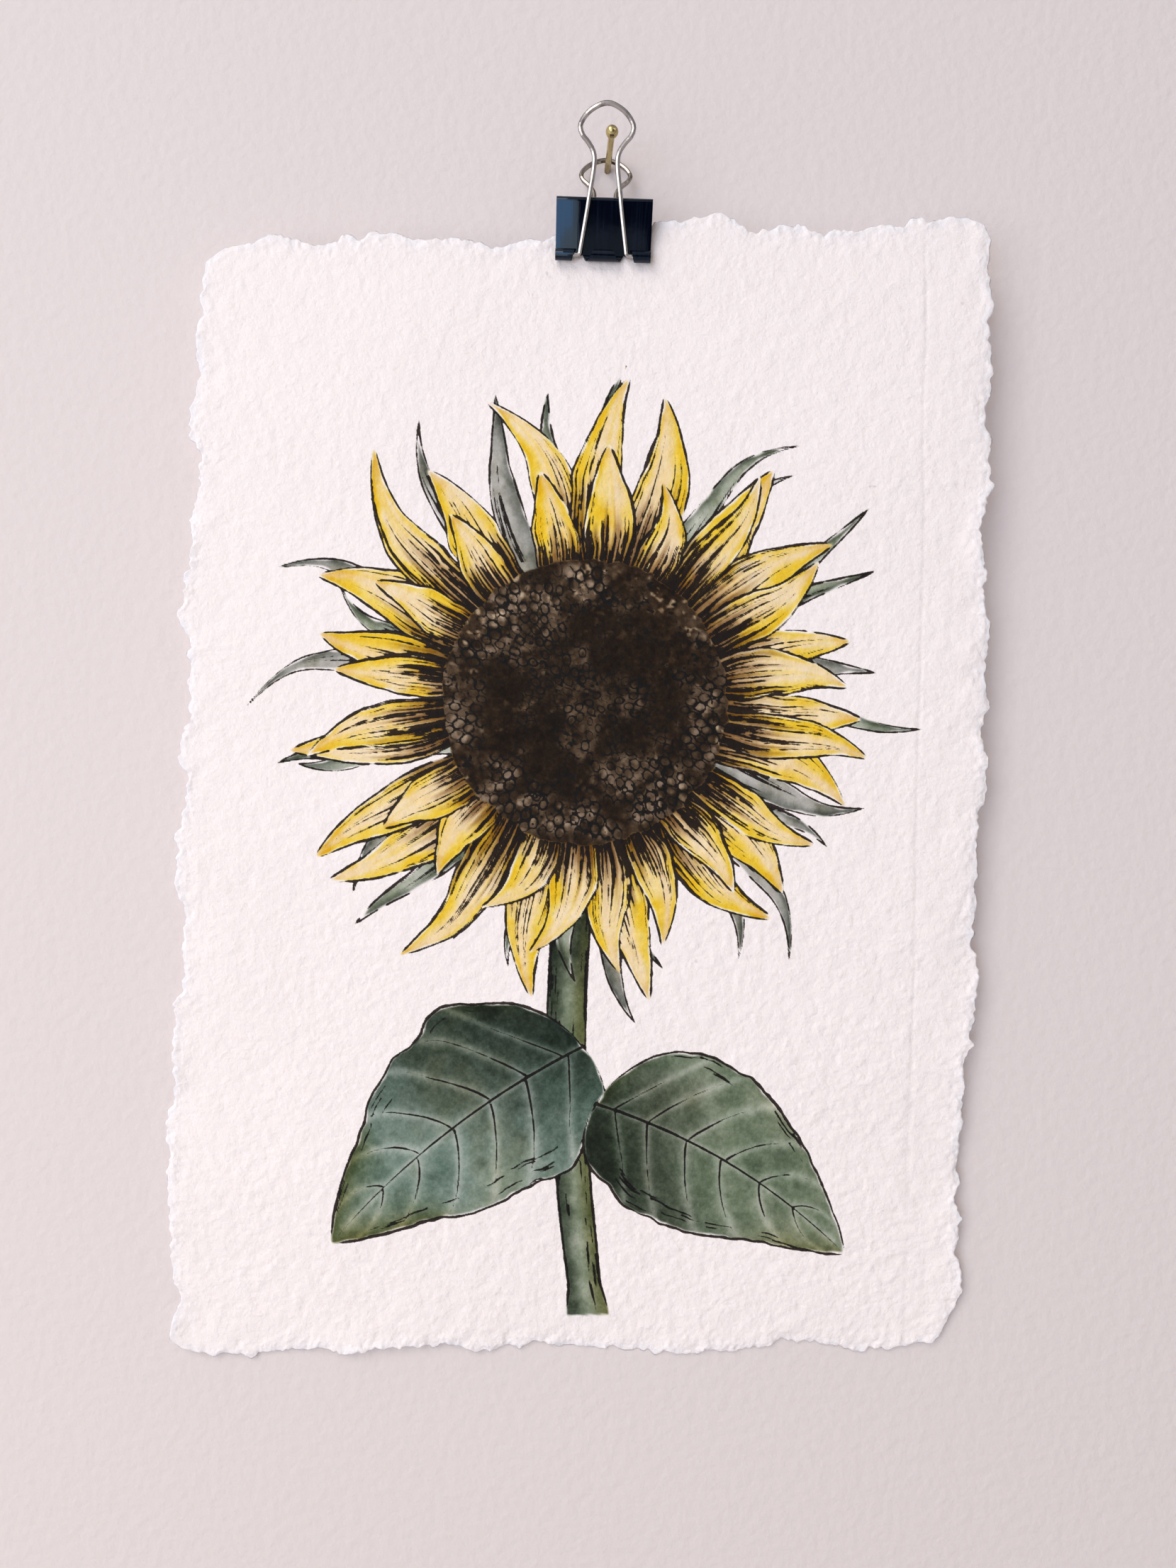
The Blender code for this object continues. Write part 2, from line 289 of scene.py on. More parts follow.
def draw_bract(drawing, rng, angle, tip_radius, width, seed):
    """A narrow grey-green bract."""
    curve, hook = rng.uniform(-0.12, 0.12), rng.uniform(-0.6, 0.6)

    def bend(t):
        return curve * 4 * t * (1 - t) + hook * np.clip(t - 0.7, 0, 1) ** 2 * 3.0

    base = around_head(angle, 22.0)
    tip = around_head(angle + rng.uniform(-0.08, 0.08), tip_radius)
    blade = Blade(drawing, base, tip, width, bract_outline, bend, seed, 0.09)
    fade = blade.fade
    blade.outline(0.34, 0.55)
    for k in range(6):
        blade.stroke(rng.uniform(-0.8, 0.8), 0.2, rng.uniform(0.5, 0.85), 0.25, seed + 9 * k)
    dark = ramp(-0.2, 0.9, blade.v * rng.choice((-1, 1)) + 0.5 * fade)
    tip_shade = ramp(0.70, 0.95, blade.t)
    paint = blade.bare_edge(0.4)
    blade.lay(
        ((SAGE, GREY)[rng.randint(2)], paint * (0.8 + 0.45 * fade)),
        (SHADE, paint * (0.35 * dark + 0.4 * tip_shade)),
        (OLIVE, paint * 0.15 * np.clip(fade, 0, 1)),
    )


def leaf_outline(t):
    arch = np.clip(np.sin(math.pi * t ** 0.62), 0, 1) ** 0.8
    return 1.02 * arch * (1 - 0.16 * t) * (1 + 0.07 * noise(t * 16, 0 * t, 1.0, 3, 2))


def draw_leaf(drawing, rng, base, tip, width, curve, seed, tone):
    """A broad leaf with a midrib and six ribs to a side. tone is its main pigment."""

    def bend(t):
        return curve * 4 * t * (1 - t)

    blade = Blade(drawing, base, tip, width, leaf_outline, bend, seed, 0.05)
    t, v, length = blade.t, blade.v, blade.length
    fade = noise(blade.x, blade.y, 12.0, seed + 1, 4)
    fine = noise(blade.x, blade.y, 2.2, seed + 2, 2)
    blade.outline(0.5, 0.9)
    midrib = pen(blade.across, 0.5 * (1.3 - t) * (1 + 0.3 * fine)) * (t > 0) * (t < 0.97)
    blade.ink = np.maximum(blade.ink, midrib)
    out = np.abs(v)
    ribs = np.exp(-(blade.across / 1.0) ** 2) * (t < 0.95)
    for side in (-1, 1):
        for k in range(6):
            root = 0.06 + 0.14 * k + rng.uniform(-0.015, 0.015)
            near = np.abs(t - root - 0.20 * out ** 1.25) * length * 0.8
            here = (v * side > 0.02) * (out < rng.uniform(0.8, 0.95))
            ribs = np.maximum(ribs, np.exp(-(near / 1.1) ** 2) * (v * side > 0) * (out < 0.97))
            pressed = ramp(0.85, 0.5, noise(out * 9, 0 * t, 1.0, seed + 40 + k))
            drawn = pen(near, 0.32 * (1.25 - out) * (1 + 0.5 * fine)) * here * (0.35 + 0.65 * pressed)
            blade.ink = np.maximum(blade.ink, drawn)
    for k in range(30):
        start = rng.uniform(0.1, 0.85)
        place = rng.uniform(0.72, 0.97) * rng.choice((-1, 1))
        blade.stroke(place, start, start + rng.uniform(0.05, 0.12), 0.3, seed + 90 + k, 0.02)
    shadow = ramp(0.6, -0.1, t + 0.35 * fade + 0.25 * v * rng.choice((-1, 1)))
    edge = blade.rim(2.6) * ramp(-0.3, 0.6, noise(t * 3, np.sign(v), 1.0, seed + 8))
    paint = blade.bare_edge(0.55)
    lift = 1 - 0.45 * ribs
    blade.lay(
        (tone, paint * lift * (1.2 + 0.6 * fade)),
        (SHADE, paint * lift * (1.0 * shadow * (0.8 + 0.5 * fade) + 0.15 * np.clip(fine, 0, 1))),
        (OLIVE, paint * (0.8 * edge + 0.3 * np.clip(-fade, 0, 1))),
        (SLATE, paint * 0.5 * np.clip(fade, 0, 1)),
    )


def draw_stem(drawing, rng, top, foot, width, seed):
    """The stem, shaded under the head and along one side, with short hairs of ink."""

    def bend(t):
        return 0.035 * np.sin(math.pi * t)

    def outline(t):
        return 0.85 + 0.12 * np.cos(t * 2.4) + 0.25 * ramp(0.93, 1.0, t)

    blade = Blade(drawing, top, foot, width, outline, bend, seed, 0.03)
    t, v, fade = blade.t, blade.v, blade.fade
    blade.outline(0.45, 0.95)
    for k in range(70):
        start = rng.uniform(0.02, 0.95)
        place = rng.choice((-1, 1)) * rng.uniform(0.3, 0.95)
        blade.stroke(place, start, start + rng.uniform(0.02, 0.08), 0.26, seed + 50 + k, 0.02)
    under_head = ramp(0.42, 0.0, t + 0.12 * fade)
    blade.lay(
        (SAGE, 1.25 + 0.5 * fade),
        (SHADE, 0.6 * ramp(-0.1, 1.0, v + 0.25 * fade) + 1.5 * under_head),
        (OLIVE, 0.5 * ramp(0.0, 1.0, -v)),
    )


SEED_COUNT, GOLDEN_ANGLE = 560, math.pi * (3 - math.sqrt(5))
SEED_REACH = 2.6                                # cells this near a seed's middle can be part of it, mm


def draw_seed_head(drawing, rng, seed):
    """The disc: seeds in golden-angle order, dark, with a stippled rim and dry pale flecks."""
    centre, radius = HEAD_CENTRE, HEAD_RADIUS
    reach = radius * 1.12
    low, high = [(centre[0] + side * reach, centre[1] + side * reach) for side in (-1, 1)]
    where, x, y = drawing.window(low, high)
    dx, dy = x - centre[0], y - centre[1]
    r = np.hypot(dx, dy) / radius
    turn = np.arctan2(dy, dx)
    edge = 1 + 0.035 * noise(np.cos(turn) * 9, np.sin(turn) * 9, 1.0, seed, 3)
    inside = np.clip((edge - r) * radius / CELL + 0.5, 0, 1)
    fade = noise(x, y, 8.0, seed + 1, 4)
    dry_rim = ramp(0.6, 0.95, r)
    open_area = 0.2 + 0.7 * ramp(0.22, -0.15, fade) + 0.35 * dry_rim - 0.3 * ramp(0.5, 0.2, r)
    open_area = np.clip(open_area, 0, 1)
    blots = ramp(-0.08, 0.06, noise(x, y, 2.6, seed + 10, 2))
    small_blots = ramp(0.10, 0.2, noise(x, y, 1.5, seed + 11, 2))
    dark = 2.0 - (0.75 * blots + 0.4 * small_blots + 0.3) * open_area
    absorb = coats((SEPIA, dark * 0.62), (UMBER, 0.25 + 0.3 * np.clip(fade, 0, 1)))
    ink, lift = np.zeros_like(r), np.zeros_like(r)
    for k in range(SEED_COUNT):
        share = math.sqrt((k + 0.5) / SEED_COUNT) * 0.985
        a = GOLDEN_ANGLE * k
        cx, cy = centre[0] + radius * share * math.cos(a), centre[1] + radius * share * math.sin(a)
        size = (0.6 + 0.3 * share) * rng.uniform(0.85, 1.2)
        span = int(SEED_REACH / CELL)
        column, row = int((cx - x[0, 0]) / CELL), int((cy - y[0, 0]) / CELL)
        cut = (slice(max(0, row - span), row + span), slice(max(0, column - span), column + span))
        px, py = x[cut] - cx, y[cut] - cy
        along = px * math.cos(a) + py * math.sin(a)
        across = py * math.cos(a) - px * math.sin(a)
        oval = np.hypot(along / (size * 1.35), across / size)
        oval = oval + 0.16 * noise(x[cut], y[cut], 0.8, seed + 6)
        light = rng.uniform(0, 1) + 0.35 * (fade[cut] < 0) * rng.uniform(0, 1)
        glint = ramp(1.0, 0.4, np.hypot(along + 0.3, across - 0.2) / size)
        bright = np.clip(light - 0.4, 0, 1) * 1.7 * glint
        lift[cut] = np.maximum(lift[cut], bright)
        ink[cut] = np.maximum(ink[cut], pen((oval - 1) * size, 0.3) * rng.uniform(0.5, 1))
    clusters = ramp(0.0, 0.4, noise(x, y, 8.0, seed + 7, 2)) * (0.35 + 0.65 * dry_rim)
    flecks = ramp(0.34, 0.5, noise(x, y, 1.1, seed + 4, 2)) * clusters
    lift = np.clip(np.maximum(lift * 0.4 * dry_rim, 0.95 * flecks), 0, 1)
    absorb = absorb * (1 - 0.8 * lift)[..., None] + coats((OCHRE, 0.25 * lift))
    stipple = np.clip(noise(x, y, 0.55, seed + 9, 2) - 0.2, 0, 1) * 2.4
    stipple = stipple * ramp(-0.4, 0.4, noise(x, y, 3.0, seed + 8))
    ink = np.maximum(ink * ramp(0.5, -0.4, fade - 0.3), stipple)
    drawing.cover(where, inside, absorb.astype(np.float32), (ink * inside).astype(np.float32))


DRAWING_SEED = 11


def draw_sunflower():
    """A plain botanical study of a sunflower from the front, in ink and watercolour."""
    drawing = Drawing()
    rng = np.random.RandomState(DRAWING_SEED)
    cx, cy = HEAD_CENTRE
    draw_stem(drawing, rng, (cx, cy + 20), (4.0, 217.0), 4.3, 900)
    draw_leaf(drawing, rng, (1.0, 160.0), (-50.0, 203.0), 22.0, 0.05, 1000, SLATE)
    draw_leaf(drawing, rng, (4.0, 172.0), (57.0, 202.0), 19.0, -0.06, 1100, SAGE)
    for count, tip_radii, widths, draw, turn, seed in (
        (28, (55, 70), (3.0, 4.6), draw_bract, 0.25, 2000),
        (21, (55, 67), (5.6, 7.0), draw_petal, 0.0, 5000),
        (18, (46, 59), (5.0, 6.2), draw_petal, 0.5, 8000),
    ):
        for k in range(count):
            angle = 2 * math.pi * (k + turn + rng.uniform(-0.22, 0.22)) / count
            draw(drawing, rng, angle, rng.uniform(*tip_radii), rng.uniform(*widths), seed + 97 * k)
    draw_seed_head(drawing, rng, 77)
    return drawing


# ---------------------------------------------------------------- the sheet's own coordinates


def corners_of(node):
    """The different points of a CAD node's mesh, as an array."""
    mesh = frame["nodes"][node].data
    points = np.empty(len(mesh.vertices) * 3, np.float32)
    mesh.vertices.foreach_get("co", points)
    return np.unique(points.reshape(-1, 3).astype(float).round(7), axis=0)


class SheetPlace:
    """Where the CAD sheet is: its middle plane, its pinch line and its torn outline."""

    def __init__(self):
        points = corners_of("sheet")
        middle = points.mean(axis=0)
        spread = np.linalg.svd(points - middle, full_matrices=False)[2]
        self.out = spread[2] * -np.sign(spread[2][1])
        self.down = np.cross(self.out, (1, 0, 0))
        self.down /= np.linalg.norm(self.down) * -np.sign(self.down[2])
        hinge = np.array(frame["joints"][0]["pos_m"])
        self.origin = hinge - self.out * ((hinge - middle) @ self.out)
        self.origin[0] = 0.0
        local = points - self.origin
        heights = local @ self.out
        self.half_thickness = heights.max()
        rim = local[np.abs(heights) < 0.2 * self.half_thickness]
        rim = np.column_stack((rim[:, 0], rim @ self.down))
        centre = rim.mean(axis=0)
        order = np.argsort(np.arctan2(rim[:, 1] - centre[1], rim[:, 0] - centre[0]))
        self.outline = rim[order]

    def world(self, x, down, out):
        return (self.origin + x[..., None] * np.array((1.0, 0.0, 0.0))
                + down[..., None] * self.down + out[..., None] * self.out)


def outline_side(outline, start, end, shares):
    """Points along the outline from one corner to the next, at shares of its length from 0 to 1."""
    run = outline[start:end + 1] if start < end else np.vstack((outline[start:], outline[:end + 1]))
    length = np.concatenate(([0], np.cumsum(np.linalg.norm(np.diff(run, axis=0), axis=1))))
    return np.column_stack([np.interp(shares * length[-1], length, run[:, axis]) for axis in (0, 1)])


STRAIGHTENED = 0.20                             # share of an evenly stepped side in each side


def forward(side, axis, shares):
    """The side with no step back along its axis, so that the grid can't fold over at a notch."""
    run = np.maximum.accumulate(side[:, axis])
    even = run[0] + (run[-1] - run[0]) * shares
    side[:, axis] = (1 - STRAIGHTENED) * run + STRAIGHTENED * even
    return side


FINE_STEP, MARGIN_STEP = 0.25, 0.5              # spacing of the sheet's mesh, mm
RIM_WIDTH = 3.0                                 # the mesh is fine again this near the torn edge
PAINTED_X, PAINTED_DOWN = (-70.0, 70.0), (18.0, 219.0)
BACK_STEP = 4                                   # front cells along each side of a cell of the back


def stations(low, high, fine_low, fine_high):
    """Shares from 0 to 1 of the way from low to high, closest at both ends and where it is painted."""
    limits = (low, low + RIM_WIDTH, fine_low, fine_high, high - RIM_WIDTH, high)
    steps = (FINE_STEP, MARGIN_STEP, FINE_STEP, MARGIN_STEP, FINE_STEP)
    places = np.concatenate([np.arange(*limits[k:k + 2], step) for k, step in enumerate(steps)])
    count = len(places) - (len(places) - 1) % BACK_STEP
    places = np.interp(np.linspace(0, len(places) - 1, count), np.arange(len(places)), places)
    return (places - places[0]) / (places[-1] - places[0])


# Size and height of the torn fibres, mm.
DECKLE_OCTAVES = ((5.5, 0.45), (2.6, 0.38), (1.3, 0.38), (0.7, 0.28))
TEAR_DEPTH = 3.4                                # how far in the tearing is felt, mm


def torn_fibres(along, seed):
    """How far the paper's torn fibres stand out at each place along one side, less at its ends, mm."""
    offset = np.zeros_like(along)
    for octave, (size, height) in enumerate(DECKLE_OCTAVES):
        offset += height * noise(along, 0 * along, size, seed + octave)
    tabs = ramp(0.45, 0.75, noise(along, 0 * along, 4.0, seed + 7))
    notches = ramp(0.5, 0.8, noise(along, 0 * along, 6.0, seed + 8))
    ragged = ramp(1.0, 12.0, np.minimum(along, along[-1] - along))
    return (offset + 0.7 * tabs - 0.8 * notches) * (0.3 + 0.7 * ragged)


def sheet_grid(place):
    """x and down of every point of the sheet's grid, in mm, and how far in from the edge it is.

    The grid fills the outline's four sides in as a Coons patch, then the torn fibres push its rim.
    """
    outline = place.outline / MM
    low, high = outline.min(axis=0), outline.max(axis=0)
    s = stations(low[0], high[0], *PAINTED_X)
    t = stations(low[1], high[1], *PAINTED_DOWN)
    diagonal, other = outline.sum(axis=1), outline[:, 0] - outline[:, 1]
    top_left, bottom_right = int(diagonal.argmin()), int(diagonal.argmax())
    top_right, bottom_left = int(other.argmax()), int(other.argmin())
    top = forward(outline_side(outline, top_left, top_right, s), 0, s)
    right = forward(outline_side(outline, top_right, bottom_right, t), 1, t)
    bottom = forward(outline_side(outline, bottom_right, bottom_left, 1 - s[::-1])[::-1], 0, s)
    left = forward(outline_side(outline, bottom_left, top_left, 1 - t[::-1])[::-1], 1, t)
    across, along = s[None, :, None], t[:, None, None]
    grid = (1 - along) * top[None] + along * bottom[None]
    grid = grid + (1 - across) * left[:, None] + across * right[:, None]
    grid -= ((1 - along) * ((1 - across) * top[0] + across * top[-1])
             + along * ((1 - across) * bottom[0] + across * bottom[-1]))
    width, height = high - low
    reach = [np.broadcast_to(d, grid.shape[:2]) for d in (
        t[:, None] * height, (1 - t[:, None]) * height, s[None, :] * width, (1 - s[None, :]) * width)]
    tearing = (                                 # which way it stands out, and how far, mm
        ((0, -1), torn_fibres(s * width, 61)[None, :]),
        ((0, 1), torn_fibres(s * width, 162)[None, :]),
        ((-1, 0), torn_fibres(t * height, 263)[:, None]),
        ((1, 0), torn_fibres(t * height, 364)[:, None]),
    )
    total, moved = np.zeros(grid.shape[:2]), np.zeros_like(grid)
    for distance, (outward, offset) in zip(reach, tearing):
        weight = np.exp(-distance / TEAR_DEPTH)
        total += weight
        moved += (weight * offset)[..., None] * np.array(outward)
    grid += moved / np.maximum(total, 1)[..., None]
    return grid[..., 0], grid[..., 1], np.minimum.reduce(reach)


FEATHER = 1.1                                   # the rim thins over this width, mm
THINNEST = 0.02                                 # square of the rim's share of the sheet's thickness
LEAST_FRONT = 0.3                               # share of the thickness that the tooth always leaves
CREASE_TOP, CREASE_FOOT = (64.0, -8.0), (70.5, 222.0)   # x and down of the long fold's ends, mm
CREASE_DEPTH = 0.12                             # mm


def crease(x, down):
    """Depth from 0 to 1 of the long fold down the right side, with its fainter neighbour."""
    share = np.clip((down - CREASE_TOP[1]) / (CREASE_FOOT[1] - CREASE_TOP[1]), 0, 1)
    middle = CREASE_TOP[0] + (CREASE_FOOT[0] - CREASE_TOP[0]) * share ** 0.8
    middle += 0.35 * noise(down, 0 * down, 22.0, 31) + 0.12 * noise(down, 0 * down, 4.0, 32)
    beside = middle + 7.5 + 0.8 * noise(down, 0 * down, 30.0, 33) - 4.5 * share
    strength = 0.75 + 0.35 * noise(down, 0 * down, 18.0, 34)
    faint = 0.35 * ramp(10, 30, down) * (0.6 + 0.5 * noise(down, 0 * down, 12.0, 35))
    return strength * np.exp(-((x - middle) / 0.38) ** 2) + faint * np.exp(-((x - beside) / 0.5) ** 2)


def sheet_relief(x, down, inset):
    """Heights of the front's and the back's tooth, and of the whole sheet's waviness, mm.

    Most terms are a height times a noise, whose last numbers are its size in mm and its seed.
    """
    free = ramp(10, 45, np.hypot(x, down))
    wave = 0.45 * noise(x, down, 60.0, 41) + 0.3 * noise(x, down, 26.0, 42)
    curl = np.exp(-inset / 5.0) * (0.55 * noise(x, down, 14.0, 43) + 0.35 * noise(x, down, 5.0, 44))
    lift = free * (0.5 + wave + curl) * ramp(0, 30, down + 5)
    rougher = 0.75 + 0.75 * ramp(60, 230, down + 0.5 * x)
    tooth = rougher * (0.09 * noise(x, down, 1.3, 45, 2) + 0.08 * noise(x, down, 3.4, 46, 2))
    fibres = 0.28 * noise(x, down, 0.9, 47, 2) + 0.34 * noise(x, down, 2.4, 48, 2)
    front = tooth + np.exp(-inset / 3.0) * fibres - CREASE_DEPTH * crease(x, down)
    back = 0.13 * noise(x, down, 4.2, 57, 2) + 0.09 * noise(x, down, 9.0, 58, 2)
    return front, back, lift


def paint_on(drawing, x, down):
    """The drawing's wash colour and ink cover at each point."""
    column = (x - DRAWING_LOW[0]) / CELL - 0.5
    row = (down - DRAWING_LOW[1]) / CELL - 0.5
    rows, columns = drawing.ink.shape
    within = (column > 1) & (row > 1) & (column < columns - 3) & (row < rows - 3)
    column, row = np.where(within, column, 1.0), np.where(within, row, 1.0)
    c, r = column.astype(int), row.astype(int)
    fc, fr = column - c, row - r
    layers = np.dstack((drawing.absorb, drawing.ink))
    layers = (np.roll(layers, 1, 0) + 2 * layers + np.roll(layers, -1, 0)) / 4
    layers = (np.roll(layers, 1, 1) + 2 * layers + np.roll(layers, -1, 1)) / 4
    fc, fr = fc[..., None], fr[..., None]
    above = layers[r, c] * (1 - fc) + layers[r, c + 1] * fc
    below = layers[r + 1, c] * (1 - fc) + layers[r + 1, c + 1] * fc
    sampled = (above * (1 - fr) + below * fr) * within[..., None]
    grain = 1 + 0.16 * noise(x, down, 0.7, 51, 2) + 0.10 * noise(x, down, 2.4, 52, 2)
    return sampled[..., :3] * grain[..., None], sampled[..., 3]


def paper_colour(x, down, inset):
    """Bare paper: slightly mottled, cooler and greyer at the torn rim as painted shade seen through the
    thin edge, with dark specks and painted shade along the fold's line.
    """
    mottle = 1 + 0.012 * noise(x, down, 14.0, 53, 3)
    # painted shade at the torn rim, where the wall's shade shows through the thin paper
    rim = np.clip(np.exp(-inset / 1.1) * (1 + noise(x, down, 2.0, 56, 2)), 0, 1)[..., None]
    colour = (PAPER * (1 - rim) + SHADED_THIN_RIM * rim) * mottle[..., None]
    specks = ramp(0.94, 0.98, noise(x, down, 0.9, 54)) * ramp(0.55, 0.8, noise(x, down, 12.0, 55))
    # the fold's darker line is painted shade in the crease; the dark specks are the paper's own
    crease_shade_and_specks = 1 - 0.05 * np.clip(crease(x, down), 0, 1) - 0.25 * specks
    return colour * crease_shade_and_specks[..., None]


def make_sheet(place, drawing):
    """The painted sheet: a fine front and a coarse back, which share the points along the rim."""
    x, down, inset = sheet_grid(place)
    rows, columns = x.shape
    front, back, lift = sheet_relief(x, down, inset)
    rim = np.zeros((rows, columns), bool)
    rim[0], rim[-1], rim[:, 0], rim[:, -1] = True, True, True, True
    thick = place.half_thickness / MM * np.sqrt(np.clip(inset / FEATHER, THINNEST, 1))
    out = lift + np.where(rim, 0, np.maximum(thick + front, LEAST_FRONT * thick))
    front_points = place.world(x * MM, down * MM, out * MM).reshape(-1, 3)
    inner = (slice(BACK_STEP, -1, BACK_STEP), slice(BACK_STEP, -1, BACK_STEP))
    back_out = (lift - thick - back)[inner]
    back_points = place.world(x[inner] * MM, down[inner] * MM, back_out * MM).reshape(-1, 3)
    number = np.arange(rows * columns).reshape(rows, columns)
    quads = np.stack((number[:-1, :-1], number[1:, :-1], number[1:, 1:], number[:-1, 1:]), axis=-1)
    quads = quads.reshape(-1, 4)
    backs = back_faces(number)
    loops = np.concatenate([quads.ravel(), *backs])
    sizes = np.concatenate((np.full(len(quads), 4), [len(face) for face in backs]))
    points = np.vstack((front_points, back_points))
    mesh = mesh_from(points, loops, sizes)
    add_paint(mesh, drawing, x, down, inset, len(back_points))
    add_bake_map(mesh, quads.size, loops, points)
    sheet = add_piece("sheet_paper", mesh, "hung_sheet")
    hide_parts("sheet")
    return sheet


def mesh_from(points, loops, sizes):
    """A smooth mesh. Its faces have these numbers of corners, and loops lists their points in turn."""
    starts = np.concatenate(([0], np.cumsum(sizes)[:-1]))
    mesh = bpy.data.meshes.new("sheet_paper")
    mesh.vertices.add(len(points))
    mesh.loops.add(len(loops))
    mesh.polygons.add(len(sizes))
    mesh.vertices.foreach_set("co", points.astype(np.float32).ravel())
    mesh.loops.foreach_set("vertex_index", loops.astype(np.int32))
    mesh.polygons.foreach_set("loop_start", starts.astype(np.int32))
    mesh.update(calc_edges=True)
    mesh.shade_smooth()
    return mesh


def add_paint(mesh, drawing, x, down, inset, back_count):
    """Stores the colour of wash and paper, and the ink, on every point. The back is bare paper."""
    absorb, ink = paint_on(drawing, x, down)
    wash = paper_colour(x, down, inset) * np.exp(-absorb)
    bare = np.tile(np.append(PAPER, 1.0), (back_count, 1))
    wash = np.vstack((np.column_stack((wash.reshape(-1, 3), np.ones(x.size))), bare))
    ink = np.concatenate((ink.ravel(), np.zeros(back_count)))
    wash_layer = mesh.attributes.new("wash", "FLOAT_COLOR", "POINT")
    wash_layer.data.foreach_set("color", wash.astype(np.float32).ravel())
    ink_layer = mesh.attributes.new("ink", "FLOAT", "POINT")
    ink_layer.data.foreach_set("value", ink.astype(np.float32))


def back_faces(number):
    """The back's coarse cells. Along the rim a cell takes in every point of the front's edge."""
    rows, columns = number.shape
    coarse_rows, coarse_columns = (rows - 1) // BACK_STEP, (columns - 1) // BACK_STEP

    def point(i, j):
        if i in (0, coarse_rows) or j in (0, coarse_columns):
            return number[i * BACK_STEP, j * BACK_STEP]
        return rows * columns + (i - 1) * (coarse_columns - 1) + j - 1

    def edge(i0, j0, i1, j1):
        """The points from one corner of a cell up to the next, without the last."""
        on_rim = (i0 == i1 and i0 in (0, coarse_rows)) or (j0 == j1 and j0 in (0, coarse_columns))
        if not on_rim:
            return [point(i0, j0)]
        return [number[i0 * BACK_STEP + k * (i1 - i0), j0 * BACK_STEP + k * (j1 - j0)]
                for k in range(BACK_STEP)]

    faces = []
    for i in range(coarse_rows):
        for j in range(coarse_columns):
            corners = ((i, j), (i, j + 1), (i + 1, j + 1), (i + 1, j))
            face = []
            for (i0, j0), (i1, j1) in zip(corners, (*corners[1:], corners[0])):
                face += edge(i0, j0, i1, j1)
            faces.append(face)
    return faces


FRONT_SHARE, BACK_START, BACK_SHARE = 0.88, 0.89, 0.11   # of the bake map's width


def add_bake_map(mesh, front_loops, loops, points):
    """A bake map in which the front takes most of the room and the back a strip at the side."""
    low, high = points.min(axis=0), points.max(axis=0)
    u = (points[loops, 0] - low[0]) / (high[0] - low[0])
    v = (points[loops, 2] - low[2]) / (high[2] - low[2])
    u[:front_loops] *= FRONT_SHARE
    u[front_loops:] = BACK_START + u[front_loops:] * BACK_SHARE
    bake_map = mesh.uv_layers.new(name="OFBake")
    bake_map.data.foreach_set("uv", np.column_stack((u, v)).astype(np.float32).ravel())


def add_piece(name, data, body):
    piece = bpy.data.objects.new(name, data)
    bpy.context.scene.collection.objects.link(piece)
    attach(piece, body)
    return piece


# ---------------------------------------------------------------- materials


class Nodes:
    """A short way to build a material's node tree."""

    def __init__(self, name):
        self.material = bpy.data.materials.new(name)
        self.material.use_nodes = True
        self.tree = self.material.node_tree
        self.shader = self.tree.nodes["Principled BSDF"]
        self.places = self.add("ShaderNodeTexCoord").outputs["Object"]

    def add(self, kind, **settings):
        node = self.tree.nodes.new(kind)
        for name, value in settings.items():
            setattr(node, name, value)
        return node

    def feed(self, socket, value):
        if isinstance(value, bpy.types.NodeSocket):
            self.tree.links.new(value, socket)
        elif value is not None:
            socket.default_value = value

    def math(self, operation, a, b=None, c=None):
        node = self.add("ShaderNodeMath", operation=operation)
        for socket, value in zip(node.inputs, (a, b, c)):
            self.feed(socket, value)
        return node.outputs[0]

    def scaled(self, scale):
        node = self.add("ShaderNodeMapping")
        self.feed(node.inputs["Vector"], self.places)
        node.inputs["Scale"].default_value = scale
        return node.outputs[0]

    def noise(self, scale, detail=2.0, stretch=None, roughness=0.5):
        """Noise with about this many features to a metre, or as many times stretch along each axis."""
        node = self.add("ShaderNodeTexNoise")
        self.feed(node.inputs["Vector"], self.scaled(stretch) if stretch else self.places)
        node.inputs["Scale"].default_value = scale
        node.inputs["Detail"].default_value = detail
        node.inputs["Roughness"].default_value = roughness
        return node.outputs["Fac"]

    def blend(self, factor, a, b, kind="MIX"):
        """Colour a where the factor is 0, and b where it is 1."""
        node = self.add("ShaderNodeMix", data_type="RGBA", blend_type=kind)
        self.feed(node.inputs["Factor"], factor)
        self.feed(node.inputs["A"], a)
        self.feed(node.inputs["B"], b)
        return node.outputs["Result"]

    def fade(self, value, low, high):
        """0 where the value is below low, rising smoothly to 1 at high."""
        node = self.add("ShaderNodeMapRange", interpolation_type="SMOOTHSTEP")
        self.feed(node.inputs["Value"], value)
        node.inputs["From Min"].default_value = low
        node.inputs["From Max"].default_value = high
        return node.outputs["Result"]

    def mottled(self, colour, by, scale):
        """The colour in broad soft patches, this share darker and lighter."""
        return self.blend(self.noise(scale, 3.0), rgba(colour * (1 - by)), rgba(colour * (1 + by)))

    def varied(self, value, start, by):
        """start, plus this much for each unit of the value."""
        return self.math("MULTIPLY_ADD", value, by, start)

    def bump(self, height, distance, strength=1.0, after=None):
        """Bumps of this distance in metres, laid over the bumps in after."""
        node = self.add("ShaderNodeBump")
        self.feed(node.inputs["Height"], height)
        node.inputs["Distance"].default_value = distance
        node.inputs["Strength"].default_value = strength
        self.feed(node.inputs["Normal"], after)
        return node.outputs["Normal"]


def rgba(colour):
    return (*colour, 1.0)


